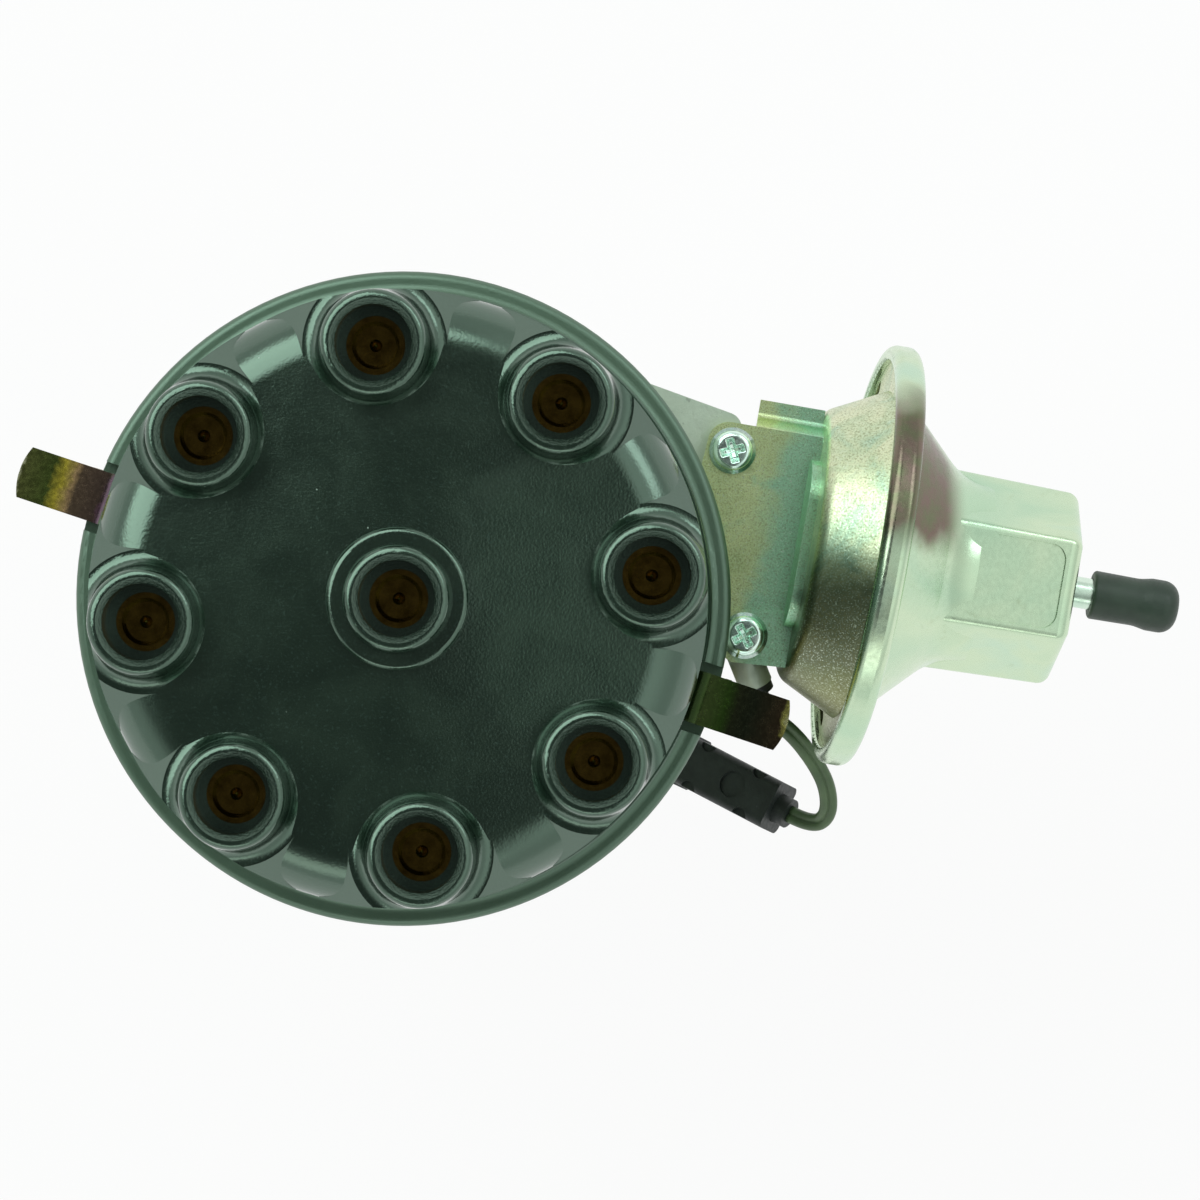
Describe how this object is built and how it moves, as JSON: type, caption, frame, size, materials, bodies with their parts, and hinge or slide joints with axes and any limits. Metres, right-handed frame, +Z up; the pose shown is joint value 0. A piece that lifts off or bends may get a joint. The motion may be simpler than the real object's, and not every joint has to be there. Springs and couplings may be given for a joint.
{
  "type": "ignition distributor",
  "caption": "Ignition distributor with a towered cap held by spring clips, a vacuum advance unit and a centrifugal advance.",
  "frame": {"origin": "on the shaft's axis at the underside of the hold-down flange", "axes": "+Z up the shaft towards the cap, +X towards the vacuum advance unit's side"},
  "size_m": [0.1793, 0.1, 0.1836],
  "materials": {
    "cap_plastic": "glossy moulded phenolic with a fine speckle",
    "brass": "machined brass, slightly dull",
    "carbon": "pressed carbon",
    "rotor_plastic": "moulded plastic, semi-gloss",
    "shaft_steel": "ground steel",
    "sintered_bronze": "oil-filled sintered bronze",
    "weight_steel": "stamped steel, oiled",
    "spring_steel": "drawn spring wire",
    "reluctor_iron": "sintered iron",
    "plate_steel": "zinc-plated stamped steel",
    "winding": "enamelled copper winding",
    "magnet": "ground magnet",
    "cast_aluminium": "matte die-cast aluminium",
    "seal_rubber": "soft rubber",
    "yellow_zinc": "iridescent yellow zinc plating",
    "canister_zinc": "smooth pale zinc plating",
    "drum_zinc": "grainy olive zinc plating",
    "screw_zinc": "bright zinc plating",
    "diaphragm_rubber": "fabric-backed rubber",
    "nipple_steel": "pale plated steel",
    "lead_rubber": "moulded twin lead insulation",
    "connector_plastic": "moulded connector plastic"
  },
  "bodies": {
    "distributor": {"distributor_cap": "cap_plastic", "tower_inserts": "brass", "centre_insert": "brass", "brush_spring": "spring_steel", "upper_bushing": "sintered_bronze", "lower_bushing": "sintered_bronze", "thrust_washer_upper": "shaft_steel", "thrust_washer_lower": "shaft_steel", "lower_plate": "plate_steel", "lower_plate_screws": "screw_zinc", "plate_retainer": "spring_steel", "vacuum_rear_shell": "drum_zinc", "vacuum_front_shell": "canister_zinc", "vacuum_nipple": "nipple_steel", "diaphragm": "diaphragm_rubber", "diaphragm_spring": "spring_steel", "vacuum_bracket": "drum_zinc", "bracket_screws": "screw_zinc", "housing": "cast_aluminium", "shank_seal": "seal_rubber", "clip_pins": "yellow_zinc", "clip_brackets": "yellow_zinc", "clip_rivets": "shaft_steel", "lead_grommet": "seal_rubber", "pickup_lead": "lead_rubber", "connector": "connector_plastic", "connector_terminals": "brass"},
    "shaft": {"drive_shaft": "shaft_steel", "drive_collar": "shaft_steel", "collar_pin": "shaft_steel", "governor_plate": "plate_steel", "governor_spring_a": "spring_steel", "governor_spring_b": "spring_steel"},
    "weight_a": {"governor_weight_a": "weight_steel"},
    "weight_b": {"governor_weight_b": "weight_steel"},
    "advance": {"advance_sleeve": "plate_steel", "reluctor": "reluctor_iron", "reluctor_pin": "shaft_steel", "rotor_body": "rotor_plastic", "rotor_blade": "brass"},
    "pickup": {"pickup_plate": "plate_steel", "pole_piece": "reluctor_iron", "pickup_coil": "winding", "pickup_magnet": "magnet", "pickup_bracket": "plate_steel", "pickup_screws": "screw_zinc"},
    "link": {"vacuum_link": "plate_steel", "diaphragm_cups": "plate_steel"},
    "clip_left": {"clip_left": "yellow_zinc"},
    "clip_right": {"clip_right": "yellow_zinc"},
    "nipple_cap": {"nipple_cap": "seal_rubber"},
    "brush": {"carbon_brush": "carbon"}
  },
  "joints": [
    {"name": "shaft_spin", "type": "hinge", "parent": "distributor", "child": "shaft", "pos_m": [0, 0, 0], "axis": [0, 0, 1], "continuous": true},
    {"name": "centrifugal_advance", "type": "hinge", "parent": "shaft", "child": "advance", "pos_m": [0, 0, 0.05], "axis": [0, 0, 1], "range_deg": [0, 12], "stiffness_Nm_per_rad": 0.05, "deforming": ["governor_spring_a", "governor_spring_b"]},
    {"name": "weight_a_swing", "type": "hinge", "parent": "shaft", "child": "weight_a", "pos_m": [-0.02, 0, 0.04], "axis": [0, 0, 1], "range_deg": [0, 14]},
    {"name": "weight_b_swing", "type": "hinge", "parent": "shaft", "child": "weight_b", "pos_m": [0.02, 0, 0.04], "axis": [0, 0, 1], "range_deg": [0, 14]},
    {"name": "diaphragm_stroke", "type": "slide", "parent": "distributor", "child": "link", "axis": [0.9807, -0.1694, -0.0976], "range_m": [0, 0.00362], "stiffness_N_per_m": 2000, "deforming": ["diaphragm", "diaphragm_spring"]},
    {"name": "plate_advance", "type": "hinge", "parent": "distributor", "child": "pickup", "pos_m": [0, 0, 0.053], "axis": [0, 0, 1], "range_deg": [-11, 0]},
    {"name": "clip_left_swing", "type": "hinge", "parent": "distributor", "child": "clip_left", "pos_m": [-0.05026, 0.01682, 0.054], "axis": [-0.3173, -0.9483, 0], "range_deg": [0, 100]},
    {"name": "clip_right_swing", "type": "hinge", "parent": "distributor", "child": "clip_right", "pos_m": [0.05026, -0.01682, 0.054], "axis": [0.3173, 0.9483, 0], "range_deg": [0, 13]},
    {"name": "nipple_cap_pull", "type": "slide", "parent": "distributor", "child": "nipple_cap", "axis": [0.9807, -0.1694, -0.0976], "range_m": [0, 0.016]},
    {"name": "brush_travel", "type": "slide", "parent": "distributor", "child": "brush", "axis": [0, 0, 1], "range_m": [0, 0.002], "stiffness_N_per_m": 400, "deforming": ["brush_spring"]}
  ],
  "couplings": [
    {"joint": "weight_a_swing", "follows": "centrifugal_advance", "ratio": 1.1666},
    {"joint": "weight_b_swing", "follows": "centrifugal_advance", "ratio": 1.1666},
    {"joint": "plate_advance", "follows": "diaphragm_stroke", "rad_per_m": -53.02}
  ]
}
